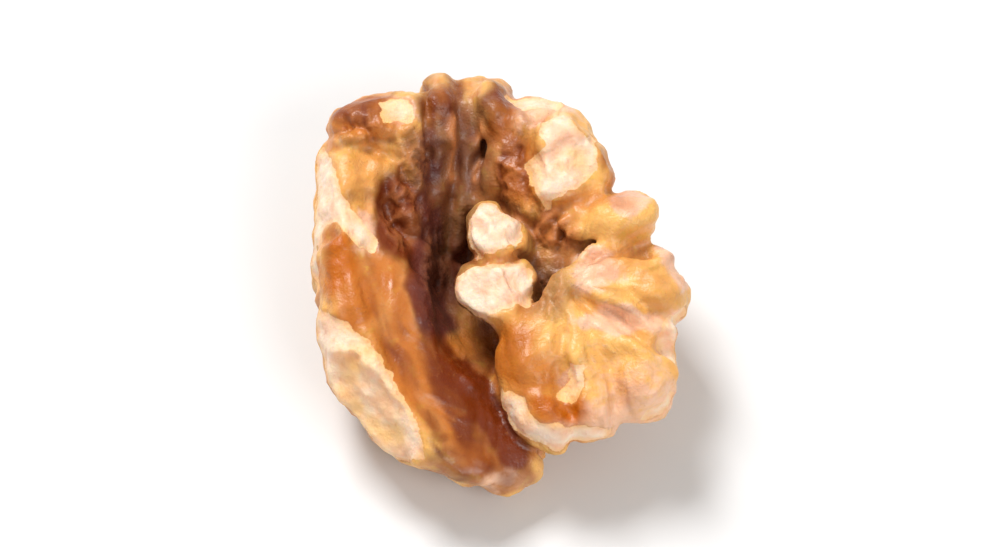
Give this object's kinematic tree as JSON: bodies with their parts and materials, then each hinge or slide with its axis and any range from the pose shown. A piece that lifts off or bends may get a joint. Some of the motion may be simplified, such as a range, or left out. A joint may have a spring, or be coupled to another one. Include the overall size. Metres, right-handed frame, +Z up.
{
  "type": "chopped walnut",
  "caption": "Chopped walnut kernel piece with folded brown skin, cream broken faces and a deep trough on its inner side.",
  "frame": {"origin": "centre of the bounding box in X and Y, on the surface it lies on", "axes": "+Z up, with the piece lying on its rounded back; +Y along its length, from the thin tail to the thick bridge end, which is the higher end of its face; +X across it, from the long wall to the fan-shaped lobe"},
  "size_m": [0.0278, 0.0323, 0.0141],
  "materials": {
    "walnut_kernel": "satin and slightly oily skin, matt and granular where broken"
  },
  "bodies": {
    "root": {"walnut_kernel": "walnut_kernel"}
  },
  "joints": []
}
